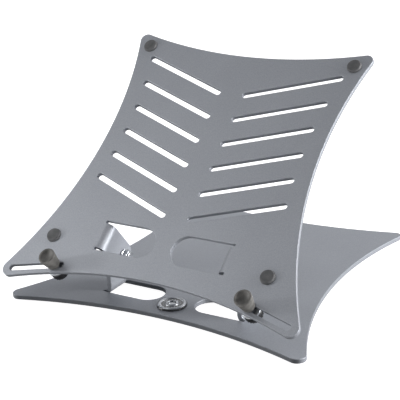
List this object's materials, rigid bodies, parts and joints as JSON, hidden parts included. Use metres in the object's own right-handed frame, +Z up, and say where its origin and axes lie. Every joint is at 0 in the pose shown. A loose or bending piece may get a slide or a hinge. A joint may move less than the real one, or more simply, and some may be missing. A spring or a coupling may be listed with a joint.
{
  "type": "laptop stand",
  "caption": "Folding metal laptop stand: a bowed slotted tray tilts on two friction pivots over a matching base, with sliding rubber front stops.",
  "frame": {"origin": "on the table under the middle of the stand's bounding box", "axes": "+X to the user's right along the pivot line, +Y away from the user, +Z up"},
  "size_m": [0.284, 0.2758, 0.1939],
  "materials": {
    "plate_metal": "bead-blasted and anodised silver grey",
    "rubber": "matt dark grey",
    "steel": "zinc-plated, bright",
    "polymer": "matt black nylon",
    "black_plastic": "moulded black, finely grained",
    "badge_metal": "plated, satin"
  },
  "bodies": {
    "base": {"base_plate": "plate_metal", "badge_disc": "badge_metal", "badge_cap": "badge_metal", "pivot_screw_left": "steel", "pivot_nut_left": "steel", "nut_washer_left": "steel", "friction_washer_left": "polymer", "spacer_washer_left": "steel", "base_foot_front_left": "rubber", "base_foot_back_left": "rubber", "pivot_screw_right": "steel", "pivot_nut_right": "steel", "nut_washer_right": "steel", "friction_washer_right": "polymer", "spacer_washer_right": "steel", "base_foot_front_right": "rubber", "base_foot_back_right": "rubber"},
    "tray": {"tray_plate": "plate_metal", "tray_pad_front_left": "rubber", "tray_pad_back_left": "rubber", "tray_pad_front_right": "rubber", "tray_pad_back_right": "rubber"},
    "stop_left": {"stop_sleeve_left": "rubber", "stop_stud_left": "steel", "stop_washer_left": "steel"},
    "thumb_left": {"thumb_nut_left": "black_plastic"},
    "stop_right": {"stop_sleeve_right": "rubber", "stop_stud_right": "steel", "stop_washer_right": "steel"},
    "thumb_right": {"thumb_nut_right": "black_plastic"}
  },
  "joints": [
    {"name": "tray_tilt", "type": "hinge", "parent": "base", "child": "tray", "pos_m": [0, -0.0738, 0.0361], "axis": [1, 0, 0], "range_deg": [-52, 13]},
    {"name": "stop_slide_left", "type": "slide", "parent": "tray", "child": "stop_left", "axis": [-0.969, -0.1933, -0.1538], "range_m": [-0.0056, 0.0411]},
    {"name": "thumb_turn_left", "type": "hinge", "parent": "stop_left", "child": "thumb_left", "pos_m": [-0.0925, -0.12306, 0.04049], "axis": [0, -0.6225, 0.7826], "continuous": true},
    {"name": "stop_slide_right", "type": "slide", "parent": "tray", "child": "stop_right", "axis": [0.969, -0.1933, -0.1538], "range_m": [-0.0087, 0.038]},
    {"name": "thumb_turn_right", "type": "hinge", "parent": "stop_right", "child": "thumb_right", "pos_m": [0.0955, -0.12366, 0.04002], "axis": [0, -0.6225, 0.7826], "continuous": true}
  ]
}
